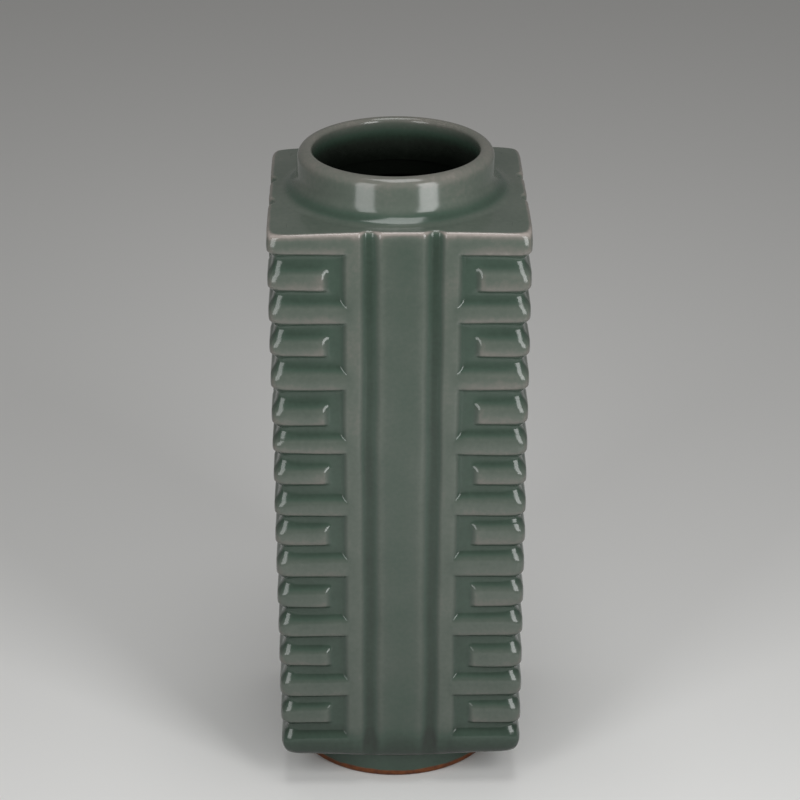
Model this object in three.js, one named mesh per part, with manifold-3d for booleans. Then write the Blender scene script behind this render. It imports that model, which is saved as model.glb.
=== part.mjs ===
// Square vase in the form of a jade cong: a slightly tapering square body with raised ribs,
// a short round neck and a round foot ring, built from eight pieces of clay.
// Units are millimetres. The vase stands on z = 0, +Z is up and the front faces -Y.
import * as THREE from "three";
import { mergeVertices } from "three/addons/utils/BufferGeometryUtils.js";
import Module from "manifold-3d";

const wasm = await Module();
wasm.setup();

// Body
const shoulderWidth = 110; // across the ribs at the top of the body
const baseWidth = 106.8; // across the ribs at the bottom of the body
const bodyHeight = 251;
const wallThickness = 6; // behind the floor of the grooves
const slabThickness = 7; // shoulder slab
const baseThickness = 8; // base slab
const arrisRadius = 1.2; // edge between the shoulder and the walls
const baseEdgeHeight = 7; // rounded edge under the walls
const baseEdgeReach = 3.2;
const grooveCornerRadius = 1.2; // upright corners, at the floor of the grooves

// Relief on each wall, measured outwards from the middle of the wall
const reliefDepth = 2.4;
const bandHalfWidth = 8.8; // broad band up the middle
const channelCentre = 13.6; // narrow channel beside the band
const uprightInner = 17; // upright rib beside the channel
const uprightOuter = 23.4;
const uprightSlope = 1.6; // run of the upright rib's outer flank
const shortRibStart = 31; // short ribs run from here to the corner
const ribHeight = 8.6;
const grooveHeight = 6.28;
const ribEdgeRadius = 2.2; // height of the rounded edge of a rib
const topBarHeight = 11;
const baseBarLeast = 7; // the base bar takes what the tiers leave over this

// Neck
const neckHeight = 19;
const mouthDiameter = 71.4;
const neckWall = 6.5;
const neckFlare = 0.7; // the neck is this much wider at its foot, on every side
const neckFillet = 6.2; // sweep of the neck into the shoulder
const lipRadius = 4.3; // outer edge of the lip

// Foot
const footHeight = 15.2;
const footDiameter = 91.7;
const footWall = 7.5;
const footShift = -1.8; // the ring stands a little left of the middle
const footEdgeRadius = 2; // rounded edges of the rim that the vase stands on

// Joints and facets
const seamGap = 0.3; // between pieces that meet at a cut
const roundFacets = 48;
const cornerFacets = 2; // across each upright corner
const weldDistance = 1e-4;

const bodyBottom = footHeight;
const bodyTop = bodyBottom + bodyHeight;
const outerHalf = shoulderWidth / 2;
const floorHalf = outerHalf - reliefDepth;
const cavityHalf = floorHalf - wallThickness;
const ribPitch = ribHeight + grooveHeight;
const tierRun = bodyHeight - topBarHeight - baseBarLeast + ribHeight;
const tierCount = Math.floor(tierRun / (2 * ribPitch));
const quarterTurn = Math.PI / 2;

const glaze = { color: 0x64706a, roughness: 0.18, metalness: 0 };
const bareClay = { color: 0x7d6148, roughness: 0.6, metalness: 0 };

// A closed geometry as a solid that can be joined and cut.
function toSolid(geometry) {
  const bare = geometry.clone();
  bare.deleteAttribute("normal");
  bare.deleteAttribute("uv");
  const merged = mergeVertices(bare, weldDistance);
  return new wasm.Manifold(new wasm.Mesh({
    numProp: 3,
    vertProperties: merged.attributes.position.array,
    triVerts: Uint32Array.from(merged.index.array),
  }));
}

// A solid as a geometry for a mesh.
function toGeometry(solid) {
  const mesh = solid.getMesh();
  const geometry = new THREE.BufferGeometry();
  geometry.setAttribute("position", new THREE.BufferAttribute(Float32Array.from(mesh.vertProperties), 3));
  geometry.setIndex(new THREE.BufferAttribute(Uint32Array.from(mesh.triVerts), 1));
  geometry.computeVertexNormals();
  return geometry;
}

// Width of the body at a height, as a share of its width at the shoulder.
function taperAt(z) {
  const fall = (bodyTop - z) / bodyHeight;
  return 1 - fall * (1 - baseWidth / shoulderWidth);
}

// The body is drawn straight, at its shoulder width, and then tapered.
function tapered(solid) {
  const mesh = solid.getMesh();
  const points = Float32Array.from(mesh.vertProperties);
  for (let i = 0; i < points.length; i += 3) {
    const share = taperAt(points[i + 2]);
    points[i] *= share;
    points[i + 1] *= share;
  }
  return new wasm.Manifold(new wasm.Mesh({ numProp: 3, vertProperties: points, triVerts: mesh.triVerts }));
}

// An upright prism over a flat outline, from one height to another.
function prism(shape, bottom, top) {
  const geometry = new THREE.ExtrudeGeometry(shape, {
    depth: top - bottom,
    bevelEnabled: false,
    curveSegments: roundFacets / 2,
  });
  geometry.translate(0, 0, bottom);
  return toSolid(geometry);
}

function roundedSquare(half, radius) {
  const inset = half - radius;
  const points = [];
  for (let corner = 0; corner < 4; corner += 1) {
    const start = (corner - 1) * quarterTurn;
    const x = inset * Math.sign(Math.cos(start + quarterTurn / 2));
    const y = inset * Math.sign(Math.sin(start + quarterTurn / 2));
    points.push(...arc(x, y, radius, start, start + quarterTurn, cornerFacets));
  }
  return new THREE.Shape(points);
}

// A square plate whose edge is rounded above and below, by edgeRadius in height and reach in depth.
// Its corners have cornerRadius at the plate's full width.
function softPlate(half, cornerRadius, bottom, top, edgeRadius, reach, facets) {
  const geometry = new THREE.ExtrudeGeometry(roundedSquare(half - reach, cornerRadius - reach), {
    depth: top - bottom - 2 * edgeRadius,
    bevelEnabled: true,
    bevelThickness: edgeRadius,
    bevelSize: reach,
    bevelSegments: facets,
  });
  geometry.translate(0, 0, bottom + edgeRadius);
  return toSolid(geometry);
}

// The plan of the walls without their level ribs: the band, the channels and the upright ribs.
function wallPlan() {
  const side = [
    [uprightOuter + uprightSlope, floorHalf],
    [uprightOuter, outerHalf],
    [uprightInner, outerHalf],
    [channelCentre, floorHalf],
    [bandHalfWidth, outerHalf],
  ];
  const mirrored = side.map(([across, out]) => [-across, out]);
  const face = [...mirrored, ...side.reverse()];
  const centre = floorHalf - grooveCornerRadius;
  const points = [];
  for (let wall = 0; wall < 4; wall += 1) {
    const turn = wall * quarterTurn;
    const cos = Math.round(Math.cos(turn));
    const sin = Math.round(Math.sin(turn));
    for (const [across, out] of face) {
      points.push(new THREE.Vector2(across * cos + out * sin, across * sin - out * cos));
    }
    const x = centre * cos + centre * sin;
    const y = centre * sin - centre * cos;
    points.push(...arc(x, y, grooveCornerRadius, turn - quarterTurn, turn, cornerFacets));
  }
  return new THREE.Shape(points);
}

// Cuts the middle out of a level rib on all four walls, as far as a distance from the wall's middle.
function withoutMiddle(rib, reach) {
  const inner = floorHalf - wallThickness / 2;
  const outer = outerHalf + wallThickness;
  const slope = (outer - inner) * (uprightSlope / reliefDepth);
  const slot = new THREE.Shape([
    new THREE.Vector2(-reach + uprightSlope, inner),
    new THREE.Vector2(reach - uprightSlope, inner),
    new THREE.Vector2(reach - uprightSlope + slope, outer),
    new THREE.Vector2(-reach + uprightSlope - slope, outer),
  ]);
  let result = rib;
  for (let wall = 0; wall < 4; wall += 1) {
    const geometry = new THREE.ExtrudeGeometry(slot, { depth: bodyHeight * 2, bevelEnabled: false });
    geometry.rotateZ(wall * quarterTurn);
    geometry.translate(0, 0, -bodyHeight / 2);
    result = result.subtract(toSolid(geometry));
  }
  return result;
}

function levelRib(bottom, top, reach) {
  const corner = grooveCornerRadius + reliefDepth;
  const plate = softPlate(outerHalf, corner, bottom, top, ribEdgeRadius, reliefDepth, 2);
  return withoutMiddle(plate, reach);
}

// The four walls in one: core, upright ribs, level ribs and the two bars, hollow and open at both ends.
function wallsInOne() {
  const joinReach = (uprightInner + uprightOuter) / 2;
  const topBarBottom = bodyTop - topBarHeight;
  let body = prism(wallPlan(), bodyBottom, bodyTop);
  body = body.add(levelRib(topBarBottom, bodyTop + 2 * ribEdgeRadius, joinReach));
  for (let tier = 0; tier < tierCount; tier += 1) {
    const shortTop = topBarBottom - grooveHeight - tier * 2 * ribPitch;
    body = body.add(levelRib(shortTop - ribHeight, shortTop, shortRibStart));
    const fullTop = shortTop - ribPitch;
    const isBaseBar = tier === tierCount - 1;
    const fullBottom = isBaseBar ? bodyBottom - 2 * ribEdgeRadius : fullTop - ribHeight;
    body = body.add(levelRib(fullBottom, fullTop, joinReach));
  }
  const corner = grooveCornerRadius + reliefDepth;
  const spare = bodyHeight / 4;
  const upper = softPlate(outerHalf, corner, bodyBottom - spare, bodyTop, arrisRadius, arrisRadius, 2);
  const lower = softPlate(outerHalf, corner, bodyBottom, bodyTop + spare, baseEdgeHeight, baseEdgeReach, 3);
  const cavity = prism(roundedSquare(cavityHalf, grooveCornerRadius), bodyBottom - spare, bodyTop + spare);
  return tapered(body.intersect(upper).intersect(lower).subtract(cavity));
}

// The wedge that holds one wall, from the middle of the vase out past the wall.
function wallWedge(wall) {
  const tip = seamGap / Math.SQRT2;
  const far = shoulderWidth;
  const wedge = new THREE.Shape([
    new THREE.Vector2(0, -tip),
    new THREE.Vector2(-far, -far - tip),
    new THREE.Vector2(far, -far - tip),
  ]);
  const geometry = new THREE.ExtrudeGeometry(wedge, { depth: bodyHeight * 2, bevelEnabled: false });
  geometry.rotateZ(wall * quarterTurn);
  return toSolid(geometry);
}

// A square slab that fits between the walls, with a round hole or none.
function innerSlab(bottom, top, holeRadius) {
  const shape = roundedSquare(cavityHalf - seamGap, grooveCornerRadius);
  if (holeRadius > 0) {
    const hole = new THREE.Path();
    hole.absarc(0, 0, holeRadius, 0, 2 * Math.PI, true);
    shape.holes.push(hole);
  }
  return toGeometry(tapered(prism(shape, bottom, top)));
}

// A quarter circle of points in the lathe's plane, from one angle to another.
function arc(x, y, radius, from, to, steps = 4) {
  const curve = new THREE.EllipseCurve(x, y, radius, radius, from, to, to < from);
  return curve.getPoints(steps);
}

// A turned ring about +Z, from a closed profile of radius and height.
function turnedRing(profile, bottom) {
  const geometry = new THREE.LatheGeometry([...profile, profile[0].clone()], roundFacets);
  geometry.rotateX(quarterTurn);
  geometry.translate(0, 0, bottom);
  return toGeometry(toSolid(geometry));
}

function neckCollar() {
  const inner = mouthDiameter / 2;
  const outer = inner + neckWall;
  const sweepCentre = outer + neckFlare + neckFillet;
  const innerRadius = neckWall - lipRadius;
  return turnedRing([
    new THREE.Vector2(inner, 0),
    ...arc(sweepCentre, neckFillet, neckFillet, -quarterTurn, -2 * quarterTurn, 5),
    ...arc(outer - lipRadius, neckHeight - lipRadius, lipRadius, 0, quarterTurn, 4),
    ...arc(inner + innerRadius, neckHeight - innerRadius, innerRadius, quarterTurn, 2 * quarterTurn, 3).slice(1),
  ], bodyTop);
}

function footRing() {
  const outer = footDiameter / 2;
  const inner = outer - footWall;
  const edge = footEdgeRadius;
  return turnedRing([
    new THREE.Vector2(inner, footHeight),
    ...arc(inner + edge, edge, edge, 2 * quarterTurn, 3 * quarterTurn, 3),
    ...arc(outer - edge, edge, edge, -quarterTurn, 0, 3),
    new THREE.Vector2(outer, footHeight),
  ], 0);
}

const vase = new THREE.Group();

function addPiece(name, geometry, finish) {
  const piece = new THREE.Mesh(geometry, new THREE.MeshStandardMaterial(finish));
  piece.name = name;
  vase.add(piece);
}

const walls = wallsInOne();
["front_wall", "right_wall", "back_wall", "left_wall"].forEach((name, wall) => {
  addPiece(name, toGeometry(walls.intersect(wallWedge(wall))), glaze);
});
addPiece("shoulder_slab", innerSlab(bodyTop - slabThickness, bodyTop, mouthDiameter / 2), glaze);
addPiece("neck_collar", neckCollar(), glaze);
addPiece("base_slab", innerSlab(bodyBottom, bodyBottom + baseThickness, 0), glaze);
addPiece("foot_ring", footRing(), bareClay);
vase.getObjectByName("foot_ring").position.x = footShift;

export default vase;
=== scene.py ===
# %% [markdown]
# A square celadon vase in the form of a jade cong: a tapering square body with raised ribs, a short round
# neck and a round foot. It is one fired body, but its maker builds it from eight pieces of clay, and each of
# those pieces is modelled here over its solid. The solids are loaded first, and give every place and size
# that the finished surfaces have to meet.

# %% Load the solids
import math

import bmesh
import bpy
import numpy as np
from mathutils import Matrix, Vector


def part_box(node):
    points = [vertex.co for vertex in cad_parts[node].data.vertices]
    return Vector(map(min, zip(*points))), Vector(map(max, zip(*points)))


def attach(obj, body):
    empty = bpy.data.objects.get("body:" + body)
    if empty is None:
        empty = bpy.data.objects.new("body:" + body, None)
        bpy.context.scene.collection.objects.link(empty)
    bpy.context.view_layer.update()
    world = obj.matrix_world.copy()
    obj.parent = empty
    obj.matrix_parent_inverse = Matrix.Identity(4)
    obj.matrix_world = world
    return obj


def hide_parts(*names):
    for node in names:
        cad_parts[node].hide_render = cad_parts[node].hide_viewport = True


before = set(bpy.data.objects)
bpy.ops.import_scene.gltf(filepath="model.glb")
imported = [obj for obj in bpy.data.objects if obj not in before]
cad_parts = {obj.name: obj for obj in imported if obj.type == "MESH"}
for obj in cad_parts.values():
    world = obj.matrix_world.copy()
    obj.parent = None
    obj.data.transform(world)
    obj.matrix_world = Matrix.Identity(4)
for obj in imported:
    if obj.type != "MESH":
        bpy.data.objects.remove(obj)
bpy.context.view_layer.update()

# %% Heights and widths, read from the solids
MM = 0.001
BODY_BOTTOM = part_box("front_wall")[0][2]
BODY_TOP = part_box("front_wall")[1][2]
NECK_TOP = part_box("neck_collar")[1][2]
SHOULDER_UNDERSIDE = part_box("shoulder_slab")[0][2]
BASE_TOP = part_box("base_slab")[1][2]
FOOT_LOW, FOOT_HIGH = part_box("foot_ring")
FOOT_RADIUS = (FOOT_HIGH[0] - FOOT_LOW[0]) / 2
FOOT_SHIFT = (FOOT_HIGH[0] + FOOT_LOW[0]) / 2
print("body from", round(BODY_BOTTOM / MM, 2), "to", round(BODY_TOP / MM, 2), "mm")

# %% [markdown]
# The photograph looks down on the vase at about 24 degrees, from straight in front and through a long lens.
# A long lens from far away keeps the sides nearly parallel. The camera is placed by a turn, a tilt and a
# distance from a point on the vase's middle line, which is easier to correct than three coordinates.

# %% Camera
CAMERA_TURN = math.radians(-0.85)
CAMERA_TILT = math.radians(24.44)
CAMERA_ROLL = math.radians(-0.15)
CAMERA_DISTANCE = 1.188
CAMERA_TARGET = Vector((0.00075, 0.0, 0.1663))
LENS = 120.8
SENSOR = 36.0


def direction(turn, tilt):
    """The way from the vase to something at a turn from its front and a tilt above the floor."""
    level = math.cos(tilt)
    return Vector((math.sin(turn) * level, -math.cos(turn) * level, math.sin(tilt)))


def place_camera():
    camera = bpy.data.cameras.new("camera")
    camera.lens = LENS
    camera.sensor_width = SENSOR
    holder = bpy.data.objects.new("camera", camera)
    bpy.context.scene.collection.objects.link(holder)
    back = direction(CAMERA_TURN, CAMERA_TILT)
    aim = back.to_track_quat("Z", "Y").to_matrix().to_4x4()
    roll = Matrix.Rotation(CAMERA_ROLL, 4, "Z")
    holder.matrix_world = Matrix.Translation(CAMERA_TARGET + back * CAMERA_DISTANCE) @ aim @ roll
    bpy.context.scene.camera = holder
    print("camera at", [round(place, 3) for place in holder.matrix_world.translation])


place_camera()

# %% [markdown]
# Celadon is a thick, glassy, grey-green glaze. On sharp edges it runs thin, and the pale body shines through
# with a pink cast. In grooves it gathers, and is deeper and greener. Every piece below carries a number on
# its points, named glaze: below zero where the coat is thin, zero on an open face and one where it is thick.
# The number also carries painted light. Its palest end is partly a painted highlight along the front edge of
# the shoulder. Under the body and at its foot the values above one are partly painted shade. Inside the vase
# they are all painted shade, up to two in the dark of the inside. One colour ramp turns that number into a
# colour, so all the pieces agree where they meet. Two noises in the object's own space keep the coat from
# being even: a slow one for the drift of the tone, and a fine one for the specks in the glass.

# %% The colours of the glaze
GLAZE_STOPS = (
    # the palest stop is thin glaze, partly a painted highlight along the front edge of the shoulder
    (-1.0, (0.345, 0.305, 0.280)),
    (-0.5, (0.160, 0.157, 0.138)),
    (-0.2, (0.103, 0.124, 0.103)),
    (0.1, (0.076, 0.099, 0.080)),
    (0.5, (0.050, 0.080, 0.060)),
    (1.0, (0.031, 0.051, 0.037)),
    # the two darkest stops are painted shade: under the body, at its foot and in the dark inside
    (1.5, (0.019, 0.024, 0.019)),
    (2.0, (0.006, 0.008, 0.006)),
)
THINNEST = GLAZE_STOPS[0][0]
DARKEST_LEVEL = GLAZE_STOPS[-1][0]
print(len(GLAZE_STOPS), "colours from the thinnest coat to the thickest")

# %% Helpers for the nodes of a material
NOISE_LOW = 0.3
NOISE_HIGH = 0.7


def node(tree, kind, **settings):
    """A new shader node with some of its settings."""
    made = tree.nodes.new("ShaderNode" + kind)
    for name, value in settings.items():
        setattr(made, name, value)
    return made


def noise(tree, where, scale, detail):
    made = node(tree, "TexNoise")
    made.inputs["Scale"].default_value = scale
    made.inputs["Detail"].default_value = detail
    tree.links.new(where, made.inputs["Vector"])
    return made.outputs["Fac"]


def stretched(tree, value, low, high, new_low, new_high):
    made = node(tree, "MapRange")
    made.inputs["From Min"].default_value = low
    made.inputs["From Max"].default_value = high
    made.inputs["To Min"].default_value = new_low
    made.inputs["To Max"].default_value = new_high
    tree.links.new(value, made.inputs["Value"])
    return made.outputs["Result"]


def wandering(tree, where, scale, detail, most):
    """A noise that wanders between -most and most."""
    return stretched(tree, noise(tree, where, scale, detail), NOISE_LOW, NOISE_HIGH, -most, most)


def added(tree, first, second):
    made = node(tree, "Math", operation="ADD")
    tree.links.new(first, made.inputs[0])
    tree.links.new(second, made.inputs[1])
    return made.outputs["Value"]


# %% From the coat to its colour
TONE_DRIFT = 0.12
TONE_SCALE = 38.0
SPECK_DRIFT = 0.06
SPECK_SCALE = 520.0


def glaze_colour(tree, where):
    """The glaze's colour, painted shade and highlight included, from the number on the points and the drift
    of the coat.
    """
    coat = node(tree, "Attribute", attribute_name="glaze").outputs["Fac"]
    drift = wandering(tree, where, TONE_SCALE, 3.0, TONE_DRIFT)
    specks = wandering(tree, where, SPECK_SCALE, 2.0, SPECK_DRIFT)
    depth = added(tree, added(tree, coat, drift), specks)
    share = stretched(tree, depth, THINNEST, DARKEST_LEVEL, 0.0, 1.0)
    ramp = node(tree, "ValToRGB")
    stops = ramp.color_ramp.elements
    while len(stops) < len(GLAZE_STOPS):
        stops.new(0.5)
    for stop, (level, colour) in zip(stops, GLAZE_STOPS):
        stop.position = (level - THINNEST) / (DARKEST_LEVEL - THINNEST)
        stop.color = (*colour, 1.0)
    tree.links.new(share, ramp.inputs["Fac"])
    return ramp.outputs["Color"]


# %% [markdown]
# The surface of the glaze is glass, so it is set by a low roughness and the index of glass, and a very
# shallow bump with swells a few millimetres across gives the slightly uneven gloss of a fired coat.

# %% The glaze
GLAZE_ROUGHNESS = 0.14
GLAZE_INDEX = 1.5
SWELL_HEIGHT = 0.12 * MM
SWELL_STRENGTH = 0.2
SWELL_SCALE = 170.0


def glazed(tree, where, shader):
    """Gives a shader the gloss and the swells of the glaze."""
    shader.inputs["Roughness"].default_value = GLAZE_ROUGHNESS
    shader.inputs["IOR"].default_value = GLAZE_INDEX
    swell = node(tree, "Bump")
    swell.inputs["Strength"].default_value = SWELL_STRENGTH
    swell.inputs["Distance"].default_value = SWELL_HEIGHT
    tree.links.new(noise(tree, where, SWELL_SCALE, 1.0), swell.inputs["Height"])
    tree.links.new(swell.outputs["Normal"], shader.inputs["Normal"])


def new_finish(name):
    """A new material, with its nodes, the place in the object's space and the shader."""
    finish = bpy.data.materials.new(name)
    finish.use_nodes = True
    tree = finish.node_tree
    where = node(tree, "TexCoord").outputs["Object"]
    return finish, tree, where, tree.nodes["Principled BSDF"]


def celadon():
    finish, tree, where, shader = new_finish("celadon_glaze")
    glazed(tree, where, shader)
    tree.links.new(glaze_colour(tree, where), shader.inputs["Base Color"])
    return finish


CELADON = celadon()
print("finish", CELADON.name)

# %% [markdown]
# The foot's rim is wiped clean before the firing, or it would stick to the kiln shelf. Its bare clay burns
# orange-brown. The line where the glaze stops is a height in the object's space, moved a little by noise,
# and it mixes both the colour and the roughness from clay to glaze.

# %% The foot's finish
CLAY_LIGHT = (0.160, 0.048, 0.012, 1.0)
CLAY_DARK = (0.085, 0.022, 0.006, 1.0)
CLAY_DARK_SHARE = 0.35
CLAY_LIGHT_SHARE = 0.60
CLAY_SCALE = 420.0
CLAY_ROUGHNESS = 0.75
RIM_LINE = 3.2 * MM
RIM_WANDER = 0.35 * MM
RIM_WANDER_SCALE = 90.0
RIM_BLEND = 0.25 * MM


def foot_finish():
    finish, tree, where, shader = new_finish("foot_glaze")
    glazed(tree, where, shader)
    height = node(tree, "SeparateXYZ")
    tree.links.new(where, height.inputs["Vector"])
    wander = wandering(tree, where, RIM_WANDER_SCALE, 2.0, RIM_WANDER)
    line = added(tree, height.outputs["Z"], wander)
    cover = stretched(tree, line, RIM_LINE - RIM_BLEND, RIM_LINE + RIM_BLEND, 0.0, 1.0)
    clay = node(tree, "ValToRGB")
    clay.color_ramp.elements[0].position = CLAY_DARK_SHARE
    clay.color_ramp.elements[0].color = CLAY_DARK
    clay.color_ramp.elements[1].position = CLAY_LIGHT_SHARE
    clay.color_ramp.elements[1].color = CLAY_LIGHT
    tree.links.new(noise(tree, where, CLAY_SCALE, 4.0), clay.inputs["Fac"])
    mixed = node(tree, "Mix", data_type="RGBA")
    tree.links.new(cover, mixed.inputs["Factor"])
    tree.links.new(clay.outputs["Color"], mixed.inputs["A"])
    tree.links.new(glaze_colour(tree, where), mixed.inputs["B"])
    tree.links.new(mixed.outputs["Result"], shader.inputs["Base Color"])
    gloss = stretched(tree, cover, 0.0, 1.0, CLAY_ROUGHNESS, GLAZE_ROUGHNESS)
    tree.links.new(gloss, shader.inputs["Roughness"])
    return finish


FOOT_FINISH = foot_finish()
print("finish", FOOT_FINISH.name)

# %% [markdown]
# Each wall carries the same relief: a broad band up the middle, a narrow channel on either side of it, an
# upright rib, and level ribs that run on round the corners. Full ribs join the upright rib, and short ribs
# between them stop before it. The relief is first laid out evenly, on a straight wall.

# %% The relief's even layout
FACE_HALF = 55.0 * MM
RELIEF = 2.4 * MM
FLOOR_HALF = FACE_HALF - RELIEF
WALL_BEHIND = 6.0 * MM
CAVITY_HALF = FLOOR_HALF - WALL_BEHIND
TOP_BAR = 11.0 * MM
RIB = 8.5 * MM
GROOVE = 6.38 * MM
TIERS = 8
BAND_EDGE = 10.6 * MM
CHANNEL_MIDDLE = 13.6 * MM
UPRIGHT_INNER = 16.5 * MM
UPRIGHT_OUTER = 24.4 * MM
SHORT_END = 31.8 * MM


def level_ribs():
    """Foot and head of each level rib, the bars at the top and the bottom among the full ones."""
    full = [(BODY_TOP - TOP_BAR, BODY_TOP + RIB)]
    short = []
    for tier in range(TIERS):
        head = full[-1][0] - GROOVE
        short.append((head - RIB, head))
        head -= RIB + GROOVE
        foot = head - RIB if tier < TIERS - 1 else BODY_BOTTOM - RIB
        full.append((foot, head))
    return full, short


FULL_RIBS, SHORT_RIBS = level_ribs()
print(len(FULL_RIBS), "full ribs and bars,", len(SHORT_RIBS), "short ribs on each half of a wall")

# %% [markdown]
# Cut clay under a thick glaze has no sharp steps. The relief is written as a share from 0, the floor of a
# groove, to 1, the face of a rib. Each rib gives a depth inside its own outline, counted in widths of its
# flank. The end of a short rib is rounded, because the two depths that meet there are blended. Where a level
# rib joins the upright one, the blend is very small, or every joint would show a white glint. The share
# eases from 0 to 1 over one flank, and a part of it eases over a much longer way, which dishes the grooves
# and crowns the ribs.

# %% Easing and blending
END_BLEND = 0.6
JOINT_BLEND = 0.02


def part_way(first, second, share):
    return first + (second - first) * share


def eased(place, low, high):
    """A share that rises smoothly from 0 at the low place to 1 at the high one."""
    share = np.clip((place - low) / (high - low), 0.0, 1.0)
    return share * share * (3.0 - 2.0 * share)


def flank(depth):
    """The share of a flank's rise at a depth, with its middle at the rib's outline."""
    return eased(depth, -0.5, 0.5)


def blended(first, second, blend):
    """The greater of two depths, rounded where they are alike."""
    close = np.clip(1.0 - np.abs(first - second) / blend, 0.0, 1.0)
    return np.maximum(first, second) + blend * close * close / 4.0


print("half way up a flank the share is", float(flank(0.0)))

# %% [markdown]
# A rib's upper flank is long and soft, and its lower edge is crisper. Towards the body's corners both grow
# longer, so that the ribs end in soft rolls and each carries one unbroken glint. The upright rib is soft on
# both sides.

# %% The relief as a smooth share
UNDER_FLANK = 2.0 * MM
CORNER_UNDER_FLANK = 4.2 * MM
UPPER_FLANK = 3.8 * MM
CORNER_UPPER_FLANK = 7.2 * MM
CORNER_START = 43.0 * MM
BAND_FLANK = 4.6 * MM
INNER_FLANK = 3.5 * MM
OUTER_FLANK = 3.4 * MM
END_FLANK = 3.6 * MM
SOFT_PART = 0.24
SOFT_WIDTH = 3.2
BAND_HOLLOW = 0.10
FAR_OUTSIDE = -9.0


def level_depth(reach, height, ribs):
    """The greatest depth inside any of some level ribs."""
    near_corner = eased(reach, CORNER_START, FLOOR_HALF)
    under_flank = part_way(UNDER_FLANK, CORNER_UNDER_FLANK, near_corner)
    upper_flank = part_way(UPPER_FLANK, CORNER_UPPER_FLANK, near_corner)
    depth = np.full_like(height, FAR_OUTSIDE)
    for foot, head in ribs:
        inside = np.minimum((height - foot) / under_flank, (head - height) / upper_flank)
        depth = np.maximum(depth, inside)
    return depth


def relief_share(across, height):
    """How far the wall stands out, at a distance from its middle and a height."""
    reach = np.abs(across)
    middle = (UPRIGHT_INNER + UPRIGHT_OUTER) / 2
    upright = np.minimum((reach - UPRIGHT_INNER) / INNER_FLANK, (UPRIGHT_OUTER - reach) / OUTER_FLANK)
    full = np.minimum(level_depth(reach, height, FULL_RIBS), (reach - middle) / OUTER_FLANK)
    short = -blended(-level_depth(reach, height, SHORT_RIBS), (SHORT_END - reach) / END_FLANK, END_BLEND)
    depth = blended(upright, np.maximum(full, short), JOINT_BLEND)
    depth = np.maximum(depth, (BAND_EDGE - reach) / BAND_FLANK)
    share = (1.0 - SOFT_PART) * flank(depth) + SOFT_PART * flank(depth / SOFT_WIDTH)
    hollow = np.cos(np.clip(reach / BAND_EDGE, 0.0, 1.0) * math.pi / 2) ** 2
    return share - BAND_HOLLOW * hollow


HALF_WAY_UP = np.full(3, (BODY_BOTTOM + BODY_TOP) / 2)
SAMPLE = relief_share(np.array([0.0, CHANNEL_MIDDLE, UPRIGHT_INNER + INNER_FLANK]), HALF_WAY_UP)
print("share on the band, in a channel and on the upright rib:", np.round(SAMPLE, 2))

# %% [markdown]
# The thickness of the glaze follows from the relief. Where the surface stands out further than its
# neighbourhood on average, the glaze has run off, and where it lies lower, the glaze has gathered. The
# average is taken over three rings of points around each place, so a narrow rib is thinly coated all over,
# and a broad face only near its edges. The rings lie a little below the place that they stand for, because
# the glaze runs down before it sets. The middles of the channels and the band carry some more on top.

# %% The thickness of the glaze
RINGS = (1.2 * MM, 3.0 * MM, 5.0 * MM)
RING_POINTS = 10
LOOK_DOWN = 1.0 * MM
FLOOR_COAT = 0.50
EDGE_COAT = 1.05
BAND_COAT = 0.17
CHANNEL_COAT = 0.35
CHANNEL_HALF = 2.2 * MM


def coat_over(across, height, share):
    """The thickness of the glaze over the relief, as the number that the colour ramp reads."""
    nearby = np.zeros_like(share)
    for radius in RINGS:
        for step in range(RING_POINTS):
            angle = 2 * math.pi * step / RING_POINTS
            aside = radius * math.cos(angle)
            above = radius * math.sin(angle) - LOOK_DOWN
            nearby += relief_share(across + aside, height + above)
    nearby /= len(RINGS) * RING_POINTS
    channel = np.exp(-((np.abs(across) - CHANNEL_MIDDLE) / CHANNEL_HALF) ** 2)
    band = eased(BAND_EDGE - np.abs(across), 0.0, BAND_FLANK)
    coat = FLOOR_COAT * (1.0 - share) + EDGE_COAT * (nearby - share)
    return coat + CHANNEL_COAT * channel + BAND_COAT * band


print(len(RINGS) * RING_POINTS, "places looked at round each point")

# %% [markdown]
# Nothing that a hand has cut is quite even. The heads and feet of the level ribs were measured on the
# photograph, in millimetres below the shoulder, at the left and at the right of the front wall. The even
# layout is stretched to those heights. The side walls are stretched the same way in mirror image, so that
# the ribs of neighbouring walls meet at every corner. The upright ribs lean a little, and short waves through
# space stir all of it by a fraction of a millimetre.

# %% Heads and feet of the ribs, in millimetres below the shoulder
LEFT_HEADS = (
    17.2, 31.9, 47.2, 62.2, 78.9, 93.4, 107.3, 122.6,
    135.9, 150.6, 166.1, 180.8, 196.2, 210.7, 225.2, 239.5,
)
LEFT_FEET = (
    9.6, 25.7, 40.8, 55.4, 71.0, 87.3, 100.1, 114.9,
    130.1, 144.3, 159.8, 174.8, 189.4, 203.9, 219.8, 233.5,
)
RIGHT_HEADS = (
    17.2, 32.7, 48.3, 63.0, 78.2, 92.8, 107.7, 121.8,
    135.3, 149.8, 165.0, 180.4, 196.0, 210.3, 224.8, 238.8,
)
RIGHT_FEET = (
    11.1, 27.1, 41.2, 56.6, 71.8, 87.6, 102.2, 116.1,
    131.0, 145.3, 160.5, 175.3, 189.8, 205.9, 220.2, 234.6,
)
print(len(LEFT_HEADS), "ribs measured on either side")

# %% Short waves through space
WAVER_SEED = 7
RIB_WAVES = (61.0, 37.0, 19.0)
SIDE_WAVES = (83.0, 41.0, 23.0)
FACE_WAVES = (57.0, 33.0, 21.0)


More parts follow.
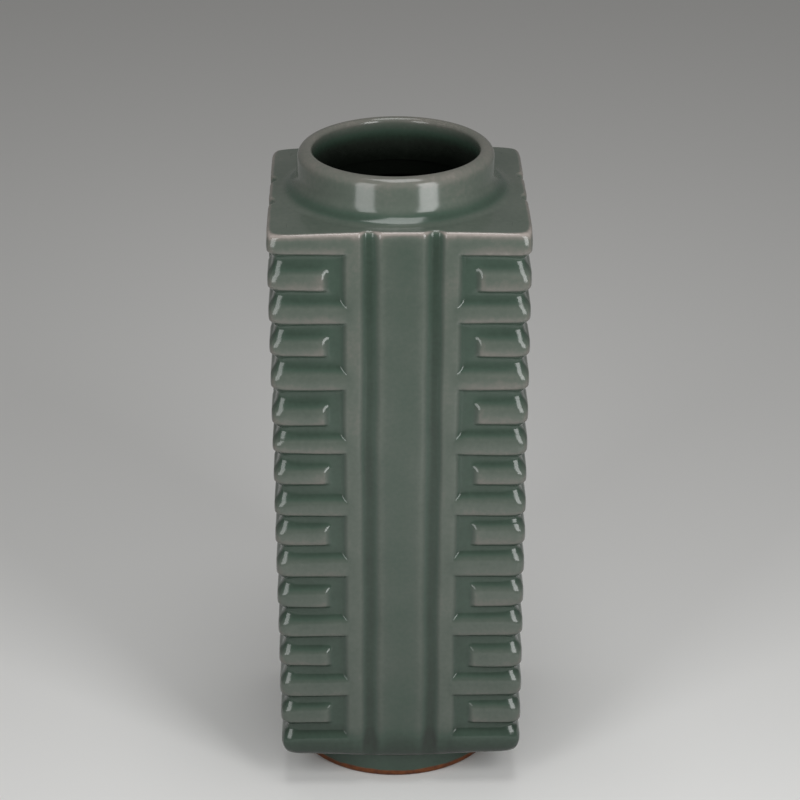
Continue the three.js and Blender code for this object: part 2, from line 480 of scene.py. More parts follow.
def make_waver(seed, lengths):
    """A function that adds up a few waves of some lengths in millimetres, each its own way."""
    draw = np.random.default_rng(seed)
    waves = []
    for length in lengths:
        way = draw.normal(size=3)
        way /= np.linalg.norm(way)
        waves.append((way * 2 * math.pi / (length * MM), draw.uniform(0, 2 * math.pi)))

    def waver(x, y, z):
        """A slow wave through space, between -1 and 1."""
        total = sum(np.sin(x * way[0] + y * way[1] + z * way[2] + phase) for way, phase in waves)
        return total / len(waves)
    return waver


rib_waver = make_waver(WAVER_SEED, RIB_WAVES)
side_waver = make_waver(WAVER_SEED + 1, SIDE_WAVES)
face_waver = make_waver(WAVER_SEED + 2, FACE_WAVES)
print("the ribs' wave at the middle of the shoulder is", round(float(rib_waver(0.0, 0.0, BODY_TOP)), 2))

# %% From the even layout to the measured heights
ARRIS = 1.8 * MM
UNDER_HEIGHT = 7.5 * MM
LEAN_HEAD = 1.2 * MM
LEAN_FOOT = -0.6 * MM


def heights_between(heads, feet):
    """All the heights that are stretched, from the bottom up, for heads and feet below the shoulder."""
    edges = sorted(BODY_TOP - place * MM for place in heads + feet)
    return np.array([BODY_BOTTOM + UNDER_HEIGHT, *edges, BODY_TOP - ARRIS])


def even_heights():
    """The same heights on the even layout."""
    pitch = (RIB + GROOVE) / MM
    feet = tuple(TOP_BAR / MM + pitch * count for count in range(2 * TIERS))
    heads = tuple(foot + GROOVE / MM for foot in feet)
    return heights_between(heads, feet)


EVEN = even_heights()
LEFT = heights_between(LEFT_HEADS, LEFT_FEET)
RIGHT = heights_between(RIGHT_HEADS, RIGHT_FEET)


def settled(height, share):
    """The height of a place on the wall, a share of the way from its left corner to its right."""
    left = np.interp(height, EVEN, LEFT)
    right = np.interp(height, EVEN, RIGHT)
    inside = (height > EVEN[0]) & (height < EVEN[-1])
    return np.where(inside, left + (right - left) * share, height)


def up_the_body(height):
    """The share of the way from the bottom of the body to its shoulder."""
    return (height - BODY_BOTTOM) / (BODY_TOP - BODY_BOTTOM)


def lean(across, height):
    """How far the pattern is moved sideways, nothing at the corners."""
    shift = part_way(LEAN_FOOT, LEAN_HEAD, up_the_body(height))
    return shift * np.clip((FLOOR_HALF - np.abs(across)) / (FLOOR_HALF - SHORT_END), 0.0, 1.0)


MOST_MOVED = max(np.abs(LEFT - EVEN).max(), np.abs(RIGHT - EVEN).max())
print("ribs moved by up to", round(float(MOST_MOVED) / MM, 2), "mm")

# %% [markdown]
# The body is drawn straight and then drawn in towards its foot, as the solids are. Four slabs that are joined
# while they are soft don't stay true, though. The shoulder sags a little outside the neck, most of all at its
# corners, whose last few millimetres lean in. At the bottom each wall hangs lower in its middle than at its
# corners. Each of these is a small function of where a point is, and all the pieces go through the same
# ones, so their edges still meet.

# %% Taper
TAPER = 106.8 / 110.0


def tapered(points):
    """The body, drawn in towards its foot."""
    share = part_way(TAPER, 1.0, up_the_body(points[..., 2]))
    points[..., 0] *= share
    points[..., 1] *= share
    return points


print("at its foot the body is", round(TAPER * 2 * FACE_HALF / MM, 1), "mm wide")

# %% Sag and crown at the shoulder
SAG = 1.3 * MM
SAG_START = 50.0 * MM
SAG_DEPTH = 9.0 * MM
SAG_POWER = 1.5
CORNER_CROWN = 0.75 * MM
CROWN_DEPTH = 6.0 * MM


def sagged(points):
    """The shoulder, fallen a little outside the neck."""
    far = np.hypot(points[..., 0], points[..., 1])
    corner = FACE_HALF * math.sqrt(2.0)
    fall = np.clip((far - SAG_START) / (corner - SAG_START), 0.0, 1.0) ** SAG_POWER
    near_top = np.clip((points[..., 2] - BODY_TOP + SAG_DEPTH) / SAG_DEPTH, 0.0, 1.0)
    points[..., 2] -= SAG * fall * near_top
    return points


def crowned(points):
    """The corners of the shoulder, drawn in a little over their last few millimetres."""
    from_middle = np.minimum(np.abs(points[..., 0]), np.abs(points[..., 1]))
    near_corner = eased(from_middle, CORNER_START, FLOOR_HALF)
    near_top = np.clip((points[..., 2] - BODY_TOP + CROWN_DEPTH) / CROWN_DEPTH, 0.0, 1.0) ** 2
    share = 1.0 - CORNER_CROWN / FACE_HALF * near_corner * near_top
    points[..., 0] *= share
    points[..., 1] *= share
    return points


print("the shoulder's corners fall by", round(SAG / MM, 2), "mm")

# %% Hang at the bottom
HANG = 1.9 * MM
HANG_HALF = 45.0 * MM
HANG_START = 41.0 * MM
HANG_HEIGHT = 12.0 * MM


def hung(points):
    """The bottom of each wall, hanging a little lower in its middle than at its corners."""
    x, y, z = np.abs(points[..., 0]), np.abs(points[..., 1]), points[..., 2]
    from_middle = np.clip(np.minimum(x, y) / HANG_HALF, 0.0, 1.0)
    at_wall = eased(np.maximum(x, y), HANG_START, FLOOR_HALF)
    near_bottom = np.clip((BODY_BOTTOM + HANG_HEIGHT - z) / HANG_HEIGHT, 0.0, 1.0) ** 2
    points[..., 2] -= HANG * np.cos(from_middle * math.pi / 2) ** 2 * at_wall * near_bottom
    return points


print("the walls' bottom edge hangs", round(HANG / MM, 2), "mm lower in its middle")

# %% [markdown]
# A wall is made from a flat grid. Its columns stand close together where the relief slopes and at the rounded
# corners, and further apart on open faces, and so do its rows. The rows then go once round the wall's
# section: up the face, over the edge, in across the shoulder, down the inside and out under the body. Moving
# a grid's points by a formula keeps every rib's edge on its own line of points, which cuts and bevels made
# one after another don't do on a pattern as dense as this. In plan, the curve of a corner starts wide and
# tightens towards the mitre. A plain arc would draw every glint on the very edge, and the wide start brings
# it onto the last few millimetres of the ribs, where the photograph has it.

# %% The curve of a corner
CORNER_WIDE = 13.0 * MM
CORNER_TIGHT = 1.0 * MM


def swept(part):
    """The wide part of a corner's curve, added up as far as the sine or cosine of a turn."""
    return part - 4 * part ** 3 / 3 + 4 * part ** 5 / 5


def corner_curve(turn):
    """How far a corner has run along and fallen back at a turn, and the length of its curve."""
    sine = np.sin(turn)
    cosine = np.cos(turn)
    extra = CORNER_WIDE - CORNER_TIGHT
    along = CORNER_TIGHT * sine + extra * swept(sine)
    fallen = CORNER_TIGHT * (1.0 - cosine) + extra * (swept(1.0) - swept(cosine))
    length = CORNER_TIGHT * turn + extra * (turn / 2 + np.sin(4 * turn) / 8)
    return along, fallen, length


CORNER_REACH = corner_curve(math.pi / 2)[0]
FLAT_HALF = FLOOR_HALF - CORNER_REACH
print("a corner starts", round(float(CORNER_REACH) / MM, 2), "mm before the edge")

# %% Columns and rows
SLOPE_STEPS = 8
FLANK_REACH = 0.55
CORNER_STEPS = 12
NEARLY_MITRE = 0.985
OPEN_STEP = 1.7 * MM


def graded(start, end, slopes):
    """Places from start to end: close together within the slopes, and OPEN_STEP apart between them."""
    places = [start]
    for low, high in slopes:
        open_steps = max(1, math.ceil((low - places[-1]) / OPEN_STEP))
        places.extend(np.linspace(places[-1], low, open_steps + 1)[1:])
        places.extend(np.linspace(low, high, SLOPE_STEPS + 1)[1:])
    open_steps = max(1, math.ceil((end - places[-1]) / OPEN_STEP))
    places.extend(np.linspace(places[-1], end, open_steps + 1)[1:])
    return np.array(places)


def around(edge, width):
    """The places between which a flank slopes, with a little to spare."""
    return edge - FLANK_REACH * width, edge + FLANK_REACH * width


def wall_columns():
    """Distance along the flat of the wall and turn round its corner, from one mitre to the other."""
    slopes = [
        around(BAND_EDGE, BAND_FLANK),
        around(UPRIGHT_INNER, INNER_FLANK),
        around(UPRIGHT_OUTER, OUTER_FLANK),
        around(SHORT_END, END_FLANK),
    ]
    half = graded(0.0, FLAT_HALF, slopes)
    turns = np.append(np.linspace(0.0, NEARLY_MITRE, CORNER_STEPS), 1.0)[1:] * math.pi / 4
    along = np.concatenate([half, np.full(len(turns), FLAT_HALF)])
    turn = np.concatenate([np.zeros(len(half)), turns])
    along = np.concatenate([-along[:0:-1], along])
    turn = np.concatenate([-turn[:0:-1], turn])
    return along, turn


def face_rows():
    """Heights of the rows on the face of a wall, from the bottom up."""
    slopes = []
    for foot, head in sorted(FULL_RIBS + SHORT_RIBS):
        slopes += [around(foot, 2 * UNDER_FLANK), around(head, UPPER_FLANK)]
    low = BODY_BOTTOM + UNDER_HEIGHT
    high = BODY_TOP - ARRIS
    return graded(low, high, [span for span in slopes if span[0] > low and span[1] < high])


ALONG, TURN = wall_columns()
CORNER_ALONG, CORNER_FALLEN, CORNER_LENGTH = corner_curve(TURN)
CORNER_FALLEN = np.abs(CORNER_FALLEN)
ACROSS = ALONG + CORNER_LENGTH
FACE_HEIGHTS = face_rows()
print(len(ALONG), "columns and", len(FACE_HEIGHTS), "rows on the face of a wall")


# %% [markdown]
# These functions give the places of a wall's points. The outline of a wall in plan is straight, with half of
# a corner's curve at either end, so that two walls share one rounded corner and meet in its middle. Where the
# wall stands out, its corner moves out with it. The curve is widest in the grooves, and smaller on the ribs
# and under the shoulder.

# %% Plan of a wall
RIB_CORNER = 0.70
TOP_CORNER = 0.82
TOP_CORNER_DEPTH = 10.0 * MM


def outer_plan(stand_out, height):
    """Places in plan at a distance out from the floor of the grooves."""
    near_corner = np.clip((np.abs(ALONG) - CORNER_START) / (FLAT_HALF - CORNER_START), 0.0, 1.0)
    near_top = eased(height, BODY_TOP - TOP_CORNER_DEPTH, BODY_TOP)
    face = np.clip(stand_out / RELIEF, 0.0, 1.0)
    size = 1.0 + (RIB_CORNER - 1.0) * face * (1.0 - near_top) + (TOP_CORNER - 1.0) * near_top
    flat_moved = stand_out + CORNER_REACH * (1.0 - size)
    along = ALONG + lean(ACROSS, height) + np.sign(ALONG) * flat_moved * near_corner
    x = along + size * CORNER_ALONG
    y = -FLOOR_HALF - stand_out + size * CORNER_FALLEN
    return x, y


def inner_plan():
    """Places in plan on the inside of the wall, where it is flat."""
    x = CAVITY_HALF * ACROSS / ACROSS[-1]
    return x, np.full_like(x, -CAVITY_HALF)


def row(plan, height):
    """A row of points: places in plan at one height."""
    x, y = plan
    return np.stack([x, y, np.full_like(x, height)], axis=-1)


def between(first, second, steps):
    """Rows that lead from one row to another, without either of them."""
    return [first + (second - first) * step / steps for step in range(1, steps)]


FACE_PLAN = outer_plan(RELIEF, BODY_TOP)
print("on a rib's face a wall reaches", round(float(FACE_PLAN[0].max()) / MM, 2), "mm to the side")

# %% [markdown]
# The face of a wall is worked out on the even layout and then stretched. Besides what the relief gives, the
# glaze is thin along the edge of the shoulder. Where the ribs go round a corner they are paler, partly thin
# glaze and partly a painted highlight that whitens their glints. At the foot of the body the colour darkens,
# partly glaze that has run down and gathered and partly painted shade, a little less in the middle of the
# wall. Down the whole body the colour darkens slowly towards the bottom.

# %% The face of a wall
TOP_THIN = -0.45
TOP_THIN_WIDTH = 1.3 * MM
BASE_POOL_AND_SHADE = 2.1
BASE_POOL_AND_SHADE_HEIGHT = 7.6 * MM
BASE_POOL_AND_SHADE_MIDDLE = 0.9
DEEPEST = 1.30
RIB_WAVER = 0.22 * MM
SIDE_WAVER = 0.35 * MM
FACE_WAVER = 0.16 * MM
STEADY_ENDS = 6.0 * MM
DARKER_DOWNWARDS = 0.08
# a painted highlight, partly thin glaze, on the ribs where they go round a corner
CORNER_THIN_AND_HIGHLIGHT = -0.26


def face_points(quarter):
    """The face of a wall: its points, the stand-out of each and the glaze number, with painted shade at the
    foot and a painted highlight on the corners.
    """
    across = np.broadcast_to(ACROSS, (len(FACE_HEIGHTS), len(ACROSS)))
    height = np.broadcast_to(FACE_HEIGHTS[:, None], across.shape)
    turn = quarter * math.pi / 2
    x, y = outer_plan(RELIEF, height)
    world = (x * math.cos(turn) - y * math.sin(turn), x * math.sin(turn) + y * math.cos(turn), height)
    stirred = across + SIDE_WAVER * side_waver(*world) * np.cos(TURN * 2)
    share = relief_share(stirred, height)
    coat = coat_over(stirred, height, share)
    coat += TOP_THIN * np.exp(-(BODY_TOP - ARRIS - height) / TOP_THIN_WIDTH)
    # at the foot of the body: glaze that has run down and gathered, and partly painted shade
    pool = BASE_POOL_AND_SHADE * np.exp(-((height - BODY_BOTTOM) / BASE_POOL_AND_SHADE_HEIGHT) ** 2)
    outside = eased(np.abs(across), BAND_EDGE, UPRIGHT_OUTER)
    coat += pool * part_way(BASE_POOL_AND_SHADE_MIDDLE, 1.0, outside)
    # the colour darkens slowly towards the bottom of the body
    coat += DARKER_DOWNWARDS * (1.0 - 2 * up_the_body(height))
    # the ribs' corners are paler: partly thin glaze, partly a painted highlight
    coat = np.minimum(coat, DEEPEST) + CORNER_THIN_AND_HIGHLIGHT * share * np.sin(2 * TURN) ** 2
    stand_out = RELIEF * share + FACE_WAVER * (face_waver(*world) - 1.0) / 2
    x, y = outer_plan(stand_out, height)
    from_left = (across / ACROSS[-1] + 1.0) / 2
    share_across = from_left if quarter % 2 == 0 else 1.0 - from_left
    from_ends = np.minimum(height - EVEN[0], EVEN[-1] - height)
    steady = np.clip(from_ends / STEADY_ENDS, 0.0, 1.0)
    z = settled(height, share_across) + RIB_WAVER * rib_waver(*world) * steady
    return np.stack([x, y, z], axis=-1), stand_out, coat


print("the glaze has gathered over the lowest", round(BASE_POOL_AND_SHADE_HEIGHT / MM, 1), "mm of the body")

# %% [markdown]
# From the top of its face a wall's section goes over the edge of the shoulder, in to the slab, down the
# inside and back out under the body. The glaze is thin along the edge of the shoulder. Along the front edge
# it is painted paler still, partly thin glaze and partly a painted highlight. It is not as thin where a
# channel runs out over an edge. Under the body the colour is dark, partly glaze that has gathered and partly
# painted shade, and the glaze fills the ends of the channels. The inside is painted with the darkest colour
# of all, as painted shade, because a deep vessel sends hardly any light back.

# %% The section of a wall
ARRIS_STEPS = 6
BORDER_STEPS = 6
INNER_STEPS = 12
UNDER_DEPTH = 4.5 * MM
UNDER_STEPS = 10
# along the front edge: partly thin glaze, partly a painted highlight
FRONT_EDGE_THIN_AND_HIGHLIGHT = -0.98
SIDE_EDGE_THIN = -0.60
CHANNEL_EDGE = 0.5
SHOULDER_COAT = -0.14
# under the body: partly glaze that has gathered, partly painted shade
UNDER_COAT_AND_SHADE = 1.15
# painted shade for the whole inside of the vase
INSIDE_PAINTED_SHADE = 2.0


def edge_coat(plan, quarter):
    """The coat on the edge of the shoulder: thin glaze at the sides, and along the front paler still, partly
    a painted highlight.
    """
    x, y = plan
    turn = quarter * math.pi / 2
    forward = -x * math.sin(turn) - y * math.cos(turn)
    return part_way(SIDE_EDGE_THIN, FRONT_EDGE_THIN_AND_HIGHLIGHT, eased(forward, CORNER_START, FLOOR_HALF))


def wall_points(quarter):
    """All the points of one wall, row by row round its section, and the glaze number on each, painted shade
    included.
    """
    face, stand_out, face_coat = face_points(quarter)
    rows = list(face)
    coats = list(face_coat)
    for step in range(1, ARRIS_STEPS + 1):
        angle = math.pi / 2 * step / ARRIS_STEPS
        plan = outer_plan(stand_out[-1] - ARRIS * (1.0 - math.cos(angle)), BODY_TOP)
        rows.append(row(plan, BODY_TOP - ARRIS * (1.0 - math.sin(angle))))
        thin = math.sin(2 * angle) ** 2 * part_way(CHANNEL_EDGE, 1.0, stand_out[-1] / RELIEF)
        rest = face_coat[-1] * math.cos(angle) + SHOULDER_COAT * math.sin(angle)
        coats.append(part_way(rest, edge_coat(plan, quarter), thin))
    inside_top = row(inner_plan(), BODY_TOP)
    inside_bottom = row(inner_plan(), BODY_BOTTOM)
    under = row(outer_plan(np.full_like(ACROSS, RELIEF - UNDER_DEPTH), BODY_BOTTOM), BODY_BOTTOM)
    border = between(rows[-1], inside_top, BORDER_STEPS) + [inside_top]
    inside = between(inside_top, inside_bottom, INNER_STEPS)
    underside = [inside_bottom] + between(inside_bottom, under, BORDER_STEPS)
    rows += border + inside + underside
    coats += [np.full_like(ACROSS, SHOULDER_COAT)] * len(border)
    # the inside rows carry painted shade, and the rows under the body partly painted shade
    coats += [np.full_like(ACROSS, INSIDE_PAINTED_SHADE)] * len(inside)
    coats += [np.full_like(ACROSS, UNDER_COAT_AND_SHADE)] * len(underside)
    for step in range(UNDER_STEPS):
        angle = math.pi / 2 * step / UNDER_STEPS
        filled = part_way(stand_out[0], RELIEF, math.cos(angle) ** 2)
        plan = outer_plan(filled - UNDER_DEPTH * (1.0 - math.sin(angle)), BODY_BOTTOM)
        rows.append(row(plan, BODY_BOTTOM + UNDER_HEIGHT * (1.0 - math.cos(angle))))
        coats.append(part_way(UNDER_COAT_AND_SHADE, face_coat[0], math.sin(angle) ** 4))
    return np.array(rows), np.array(coats)


print("coat on the shoulder's edge:", FRONT_EDGE_THIN_AND_HIGHLIGHT, "in front and", SIDE_EDGE_THIN, "at the sides")

# %% [markdown]
# One helper turns rows and columns of places into a closed shell. It starts from Blender's own grid, moves
# its points, welds the last row to the first, and closes what is still open at the two ends. Edges with a
# real corner between their faces are marked sharp, so that smooth shading stops there.

# %% Shell from a grid
WELD = 1e-7


def grid_shell(points, coats, closed_columns=False):
    """A shell whose rows close on themselves, and its columns too if asked."""
    rows, columns = coats.shape
    across = columns if closed_columns else columns - 1
    bm = bmesh.new()
    bmesh.ops.create_grid(bm, x_segments=across, y_segments=rows, size=0.5)
    coat_layer = bm.verts.layers.float.new("glaze")
    for vert in bm.verts:
        column = round((vert.co.x + 0.5) * across) % columns
        line = round((vert.co.y + 0.5) * rows) % rows
        vert.co = points[line, column]
        vert[coat_layer] = coats[line, column]
    bmesh.ops.remove_doubles(bm, verts=bm.verts, dist=WELD)
    open_edges = [edge for edge in bm.edges if edge.is_boundary]
    if open_edges:
        bmesh.ops.holes_fill(bm, edges=open_edges, sides=0)
    return bm


# %% [markdown]
# Every finished shell becomes a piece in the same few steps: its faces are turned outwards and smoothed, it
# is turned to its side of the vase, and it gets its finish. Then it takes the place of its own solid.

# %% From a shell to a finished piece
SHARP_ANGLE = math.radians(40)


def finish_piece(bm, name, finish, replaced, quarter=0):
    """Makes an object of a shell, in the place of the solid that it replaces."""
    bmesh.ops.recalc_face_normals(bm, faces=bm.faces)
    turn = Matrix.Rotation(quarter * math.pi / 2, 3, "Z")
    bmesh.ops.rotate(bm, verts=bm.verts, cent=(0, 0, 0), matrix=turn)
    for face in bm.faces:
        face.smooth = True
    for edge in bm.edges:
        edge.smooth = edge.calc_face_angle(0.0) < SHARP_ANGLE
    mesh = bpy.data.meshes.new(name)
    bm.to_mesh(mesh)
    bm.free()
    mesh.materials.append(finish)
    piece = bpy.data.objects.new(name, mesh)
    bpy.context.scene.collection.objects.link(piece)
    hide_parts(replaced)
    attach(piece, "root")
    triangles = sum(len(face.vertices) - 2 for face in mesh.polygons)
    print(name, "has", triangles, "triangles")


# %% [markdown]
# The four walls have the same layout, and are made one after another for the four sides of the vase. Each
# asks the short waves for its own place in space, so no two of them are quite alike, and the ribs still meet
# at the corners.

# %% The four walls
WALLS = ("front_wall", "right_wall", "back_wall", "left_wall")
for quarter, wall in enumerate(WALLS):
    places, coats = wall_points(quarter)
    print(wall, "has", len(places), "rows once round its section")
    shell = grid_shell(sagged(hung(crowned(tapered(places)))), coats)
    finish_piece(shell, wall + "_glazed", CELADON, wall, quarter)

# %% [markdown]
# The shoulder is a square slab with a round hole. Its points lie on spokes that run from the hole to the
# square edge, so the same helper makes it, closed both ways. The hole is a little wider than the inside of
# the neck, which stands over its edge and hides it.

# %% Shoulder slab
HOLE_RADIUS = 35.7 * MM
SLAB_HOLE = HOLE_RADIUS + 0.9 * MM
SPOKES = 128
SPOKE_ANGLES = np.arange(SPOKES) * 2 * math.pi / SPOKES
SLAB_ROWS = 14


def ring_plan(radius):
    """A place on every spoke at one distance from the middle."""
    return radius * np.cos(SPOKE_ANGLES), radius * np.sin(SPOKE_ANGLES)


def square_plan(half):
    """A place on every spoke where it crosses a square."""
    reach = half / np.maximum(np.abs(np.cos(SPOKE_ANGLES)), np.abs(np.sin(SPOKE_ANGLES)))
    return ring_plan(reach)


def slab_points(hole, half, bottom, top, rows):
    """A slab from a round hole to a square edge: over the top, down the edge and back underneath."""
    top_inner = row(ring_plan(hole), top)
    top_outer = row(square_plan(half), top)
    under_outer = row(square_plan(half), bottom)
    under_inner = row(ring_plan(hole), bottom)
    upper = [top_inner] + between(top_inner, top_outer, rows) + [top_outer]
    lower = [under_outer] + between(under_outer, under_inner, rows) + [under_inner]
    return np.array(upper + lower)


places = slab_points(SLAB_HOLE, CAVITY_HALF, SHOULDER_UNDERSIDE, BODY_TOP, SLAB_ROWS)
# the slab's underside and the edge of its hole carry the inside's painted shade
coats = np.full(places.shape[:2], INSIDE_PAINTED_SHADE)
coats[1:SLAB_ROWS + 1] = SHOULDER_COAT
shell = grid_shell(sagged(crowned(tapered(places))), coats, closed_columns=True)
finish_piece(shell, "shoulder_slab_glazed", CELADON, "shoulder_slab")

# %% [markdown]
# The neck and the foot are thrown on a wheel, so they are made as on a wheel: a closed profile is drawn once
# and spun about the vase's middle line.

# %% Spun rings
SPIN_STEPS = 160


def arc(middle_r, middle_z, radius, start, end, steps):
    """Points of a profile on part of a circle, by angles in degrees."""
    points = []
    for step in range(steps + 1):
        angle = math.radians(start + (end - start) * step / steps)
        points.append((middle_r + radius * math.cos(angle), middle_z + radius * math.sin(angle)))
    return points


def straight(from_r, from_z, to_r, to_z, steps):
    """Points of a profile on a straight line, without its two ends."""
    shares = [step / steps for step in range(1, steps)]
    return [(from_r + (to_r - from_r) * share, from_z + (to_z - from_z) * share) for share in shares]


def spun_ring(profile, coat_at):
    """A closed profile, spun once round, with the coat that a function gives for each place."""
    bm = bmesh.new()
    coat_layer = bm.verts.layers.float.new("glaze")
    verts = [bm.verts.new((radius, 0.0, height)) for radius, height in profile]
    edges = [bm.edges.new((verts[i - 1], verts[i])) for i in range(len(verts))]
    bmesh.ops.spin(
        bm, geom=verts + edges, cent=(0, 0, 0), axis=(0, 0, 1), dvec=(0, 0, 0),
        angle=2 * math.pi, steps=SPIN_STEPS, use_merge=True, use_duplicate=False,
    )
    for vert in bm.verts:
        vert[coat_layer] = coat_at(math.hypot(vert.co.x, vert.co.y), vert.co.z)
    return bm


print("a ring is spun in", SPIN_STEPS, "steps")

# %% [markdown]
# The neck flares very slightly downwards and sweeps out into the shoulder in a wide curve, where the glaze
# has gathered in a darker ring. At the top it ends in a round lip with a thin, pale coat. A ring that was
# thrown by itself and luted on is never quite true: the neck stands a little to the left, and its lip falls
# a little towards the front.

# %% Shape of the neck
NECK_OUTER = 42.0 * MM
NECK_WIDE = 42.35 * MM
NECK_SWEEP = 9.0 * MM
NECK_SHIFT = -0.7 * MM
LIP_OUTSIDE = 4.3 * MM
LIP_INSIDE = NECK_OUTER - HOLE_RADIUS - LIP_OUTSIDE
LIP_FALL = 0.9 * MM
neck_profile = [
    (HOLE_RADIUS, BODY_TOP),
    *arc(NECK_WIDE + NECK_SWEEP, BODY_TOP + NECK_SWEEP, NECK_SWEEP, -90, -180, 16),
    *straight(NECK_WIDE, BODY_TOP + NECK_SWEEP, NECK_OUTER, NECK_TOP - LIP_OUTSIDE, 6),
    *arc(NECK_OUTER - LIP_OUTSIDE, NECK_TOP - LIP_OUTSIDE, LIP_OUTSIDE, 0, 90, 14),
    *arc(HOLE_RADIUS + LIP_INSIDE, NECK_TOP - LIP_INSIDE, LIP_INSIDE, 90, 180, 8)[1:],
    *straight(HOLE_RADIUS, NECK_TOP - LIP_INSIDE, HOLE_RADIUS, BODY_TOP, 8),
]
print("the neck's profile has", len(neck_profile), "points")

# %% Glaze on the neck
POOL_WIDTH = 2.4 * MM
POOL_HEIGHT = 1.8 * MM
NECK_POOL = 0.66
LIP_COAT = -0.42
NECK_COAT = -0.16
# inside the neck the colour is painted shade, lighter towards the lip
THROAT_PAINTED_SHADE = 1.35
INSIDE_LIP = HOLE_RADIUS + 0.6 * LIP_INSIDE
THROAT_TOP = NECK_TOP - 6.0 * MM
INSIDE_THINNING = (NECK_TOP - 10.0 * MM, NECK_TOP - 0.5 * MM)
OUTSIDE_THINNING = (NECK_TOP - 6.0 * MM, NECK_TOP - 1.0 * MM)


def neck_coat(radius, height):
    """The glaze on the neck: painted shade inside, thin on the lip and gathered at the foot of the sweep."""
    above = height - BODY_TOP
    if radius < INSIDE_LIP:
        throat = part_way(INSIDE_PAINTED_SHADE, THROAT_PAINTED_SHADE, eased(height, BODY_TOP, THROAT_TOP))
        return part_way(throat, LIP_COAT, eased(height, *INSIDE_THINNING))
    wall = part_way(SHOULDER_COAT, NECK_COAT, eased(above, 0.0, NECK_SWEEP))
    pool = math.exp(-((above - POOL_HEIGHT) / POOL_WIDTH) ** 2) * eased(above, 0.0, POOL_HEIGHT)
    return part_way(part_way(wall, NECK_POOL, pool), LIP_COAT, eased(height, *OUTSIDE_THINNING))


print("coat half way up the neck:", round(float(neck_coat(NECK_OUTER, (BODY_TOP + NECK_TOP) / 2)), 2))

# %% Neck collar
shell = spun_ring(neck_profile, neck_coat)
for vert in shell.verts:
    towards_front = 0.5 - vert.co.y / (2 * NECK_OUTER)
    vert.co.z -= LIP_FALL * towards_front * eased(vert.co.z, BODY_TOP, NECK_TOP)
bmesh.ops.translate(shell, verts=shell.verts, vec=(NECK_SHIFT, 0, 0))
finish_piece(shell, "neck_collar_glazed", CELADON, "neck_collar")

# %% [markdown]
# The base closes the body between the feet of the walls. It is a slab like the shoulder's, but its spokes
# start in the middle. Only its underside shows, inside the foot and a little way round it.

# %% Base slab
places = slab_points(0.0, CAVITY_HALF, BODY_BOTTOM, BASE_TOP, SLAB_ROWS)
# the underside of the base carries the dark colour under the body: partly gathered glaze, partly painted
# shade
coats = np.full(places.shape[:2], UNDER_COAT_AND_SHADE)
shell = grid_shell(hung(tapered(places)), coats, closed_columns=True)
finish_piece(shell, "base_slab_glazed", CELADON, "base_slab")

# %% [markdown]
# The foot ring is turned a little narrower towards its rim, with both of its edges rounded over, and the
# bare clay of the rim is part of its finish.

# %% Foot ring
FOOT_WALL = 7.5 * MM
FOOT_EDGE = 2.0 * MM
FOOT_COAT = 0.60
# the foot is darker towards its top, just under the body
FOOT_DARKER_TOP = 0.30
FOOT_DARKER_TOP_HEIGHT = 4.0 * MM
FOOT_WIPED = 0.35
WIPED_HEIGHT = 1.0 * MM
WIPED_BLEND = 3.0 * MM


def foot_coat(radius, height):
    """The glaze on the foot: darker towards the body and wiped thin towards the rim."""
    near_body = eased(height, BODY_BOTTOM - FOOT_DARKER_TOP_HEIGHT, BODY_BOTTOM)
    wiped = 1.0 - eased(height, WIPED_HEIGHT, WIPED_HEIGHT + WIPED_BLEND)
    return FOOT_COAT + FOOT_DARKER_TOP * near_body - FOOT_WIPED * wiped


foot_inner = FOOT_RADIUS - FOOT_WALL
foot_profile = [
    (foot_inner, BODY_BOTTOM),
    *straight(foot_inner, BODY_BOTTOM, foot_inner, FOOT_EDGE, 5),
    *arc(foot_inner + FOOT_EDGE, FOOT_EDGE, FOOT_EDGE, 180, 270, 8),
    *arc(FOOT_RADIUS - FOOT_EDGE, FOOT_EDGE, FOOT_EDGE, -90, 0, 8),
    *straight(FOOT_RADIUS, FOOT_EDGE, FOOT_RADIUS, BODY_BOTTOM, 5),
    (FOOT_RADIUS, BODY_BOTTOM),
]
shell = spun_ring(foot_profile, foot_coat)
bmesh.ops.translate(shell, verts=shell.verts, vec=(FOOT_SHIFT, 0, 0))
finish_piece(shell, "foot_ring_glazed", FOOT_FINISH, "foot_ring")

# %% [markdown]
# A plain pale floor carries the vase's shadow. Its colour is pale to the camera and in the glaze's own
# reflections, and darker to the light that it throws back, because a bright floor would wash out the dark
# undersides of the ribs.

# %% Floor
FLOOR_SIZE = 8.0
FLOOR_SEEN = (0.80, 0.80, 0.79, 1.0)
FLOOR_THROWN = (0.18, 0.18, 0.18, 1.0)
FLOOR_ROUGHNESS = 0.9


def floor_finish():
    """Pale to the camera and in reflections, darker to the light that it throws back."""
    finish, tree, _, shader = new_finish("floor")
    path = node(tree, "LightPath")
    seen = added(tree, path.outputs["Is Camera Ray"], path.outputs["Is Glossy Ray"])
    seen = added(tree, seen, path.outputs["Is Transmission Ray"])
    mixed = node(tree, "Mix", data_type="RGBA")
    mixed.inputs["A"].default_value = FLOOR_THROWN
    mixed.inputs["B"].default_value = FLOOR_SEEN
    tree.links.new(seen, mixed.inputs["Factor"])
    tree.links.new(mixed.outputs["Result"], shader.inputs["Base Color"])
    shader.inputs["Roughness"].default_value = FLOOR_ROUGHNESS
    return finish


def lay_floor():
    bm = bmesh.new()
    bmesh.ops.create_grid(bm, x_segments=1, y_segments=1, size=FLOOR_SIZE / 2)
    mesh = bpy.data.meshes.new("floor")
    bm.to_mesh(mesh)
    bm.free()
    mesh.materials.append(floor_finish())
    floor = bpy.data.objects.new("floor", mesh)
    bpy.context.scene.collection.objects.link(floor)
    print("floor", FLOOR_SIZE, "metres across")


lay_floor()

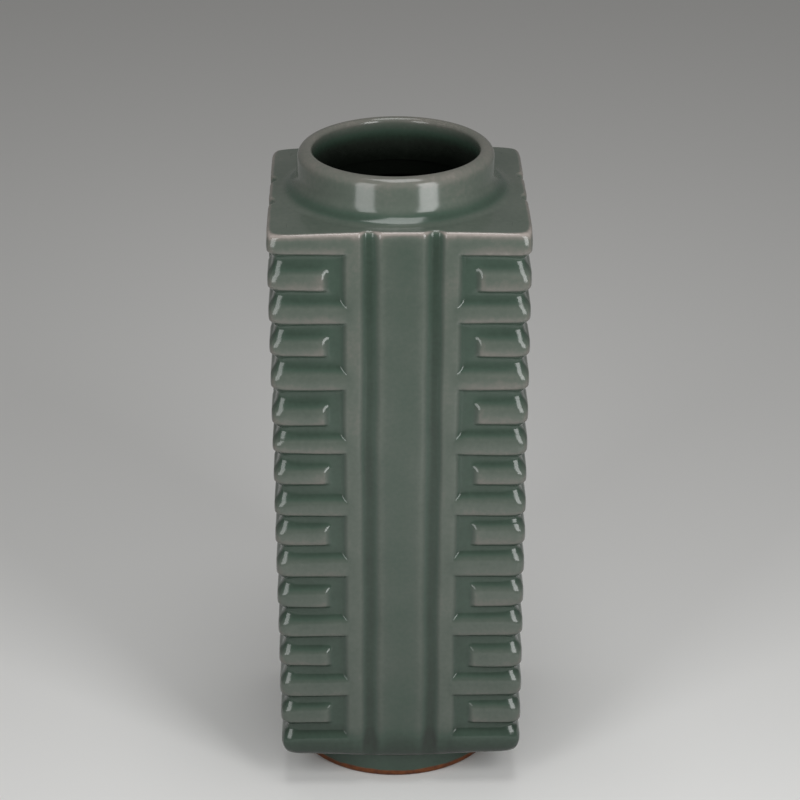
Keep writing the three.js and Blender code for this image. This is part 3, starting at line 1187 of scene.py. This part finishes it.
# %% [markdown]
# The neck of the real vase mirrors two tall soft boxes, one to each side of the camera. A wall that stands
# upright mirrors what lies as far below it as the camera is above, so the boxes have to be near and low for
# the neck to show them. Right down on the floor they would draw white lines in the channels too, so they
# start 10 cm above it. They also draw the slanted glints on the corners of the ribs. A panel overhead lights
# the shoulder and the lip, and is mirrored as a pale crescent in the sweep of the neck. The strength of a
# lamp is given as its brightness, because that is what a glaze mirrors, and its power follows from its size.

# %% Light
BOX_TURN = 35.0
BOX_DISTANCE = 0.55
BOX_WIDTH = 0.205
BOX_LOW = 0.10
BOX_HIGH = 0.72
LEFT_BRIGHTNESS = 3.9
RIGHT_BRIGHTNESS = 6.0
PANEL_WIDTH = 0.47
PANEL_LENGTH = 0.64
PANEL_PLACE = Vector((0.03, -0.09, 1.26))
PANEL_BRIGHTNESS = 4.3
WORLD_COLOUR = (0.84, 0.83, 0.81, 1.0)
WORLD_STRENGTH = 0.21
SHOULDER_MIDDLE = Vector((0.0, 0.0, BODY_TOP))


def panel(name, place, facing, width, height, brightness):
    """A flat lamp of an even brightness, which the camera itself doesn't see."""
    lamp = bpy.data.lights.new(name, "AREA")
    lamp.shape = "RECTANGLE"
    lamp.size = width
    lamp.size_y = height
    lamp.energy = brightness * math.pi * width * height
    holder = bpy.data.objects.new(name, lamp)
    bpy.context.scene.collection.objects.link(holder)
    holder.location = place
    holder.rotation_euler = (-facing).to_track_quat("Z", "Y").to_euler()
    holder.visible_camera = False


def soft_box(name, turn, brightness):
    """A tall box that stands at a turn from the front and faces the vase."""
    out = direction(math.radians(turn), 0.0)
    place = out * BOX_DISTANCE + Vector((0, 0, (BOX_LOW + BOX_HIGH) / 2))
    panel(name, place, -out, BOX_WIDTH, BOX_HIGH - BOX_LOW, brightness)


def light_world():
    world = bpy.data.worlds.new("world")
    world.use_nodes = True
    fill = world.node_tree.nodes["Background"]
    fill.inputs["Color"].default_value = WORLD_COLOUR
    fill.inputs["Strength"].default_value = WORLD_STRENGTH
    bpy.context.scene.world = world


soft_box("left_box", -BOX_TURN, LEFT_BRIGHTNESS)
soft_box("right_box", BOX_TURN, RIGHT_BRIGHTNESS)
to_shoulder = (SHOULDER_MIDDLE - PANEL_PLACE).normalized()
panel("overhead", PANEL_PLACE, to_shoulder, PANEL_WIDTH, PANEL_LENGTH, PANEL_BRIGHTNESS)
light_world()
bpy.context.scene.view_settings.view_transform = "Standard"
print("lit by", len(bpy.data.lights), "lamps and the world")
